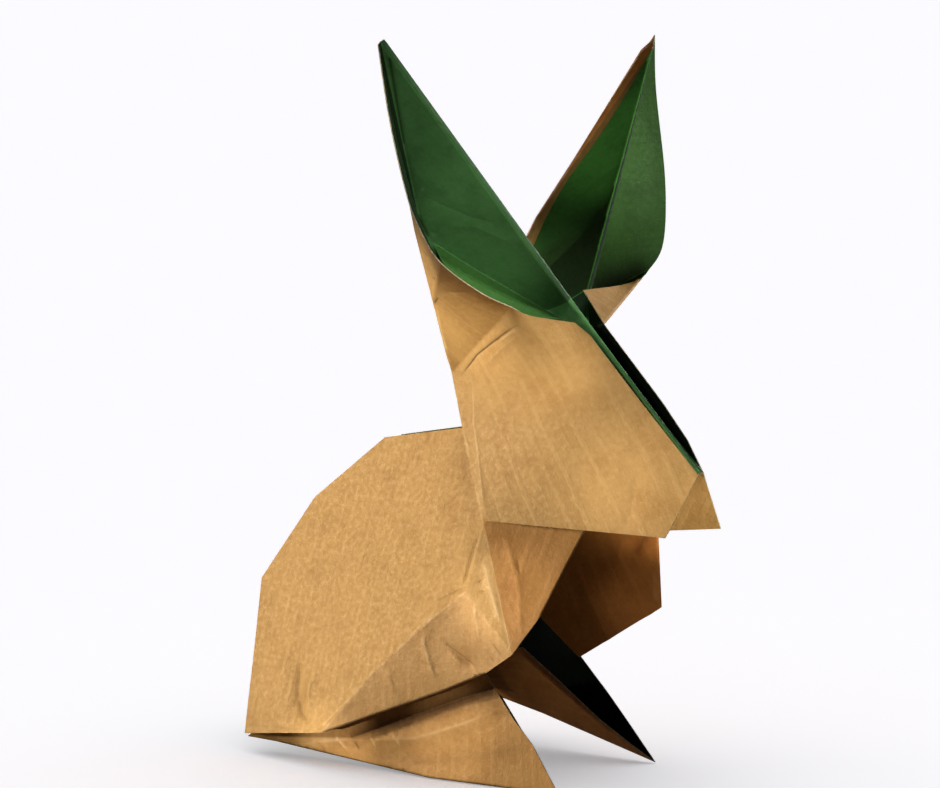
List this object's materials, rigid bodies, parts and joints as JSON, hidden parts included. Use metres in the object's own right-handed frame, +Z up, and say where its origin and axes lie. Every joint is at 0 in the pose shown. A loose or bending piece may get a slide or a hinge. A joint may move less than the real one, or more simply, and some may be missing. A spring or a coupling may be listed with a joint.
{
  "type": "origami rabbit",
  "caption": "Free-standing origami rabbit folded from one two-colour kraft sheet, with open pocket ears, a tent-shaped body and trough-shaped feet.",
  "frame": {"origin": "middle of the bounding box at ground level, under the body", "axes": "+X forward, the way the rabbit faces; +Y to its left; +Z up"},
  "size_m": [0.0716, 0.067, 0.1028],
  "materials": {
    "two_colour_kraft": "ribbed brown kraft outside with a soft sheen, green inside"
  },
  "bodies": {
    "root": {"folded_sheet": "two_colour_kraft"}
  },
  "joints": []
}
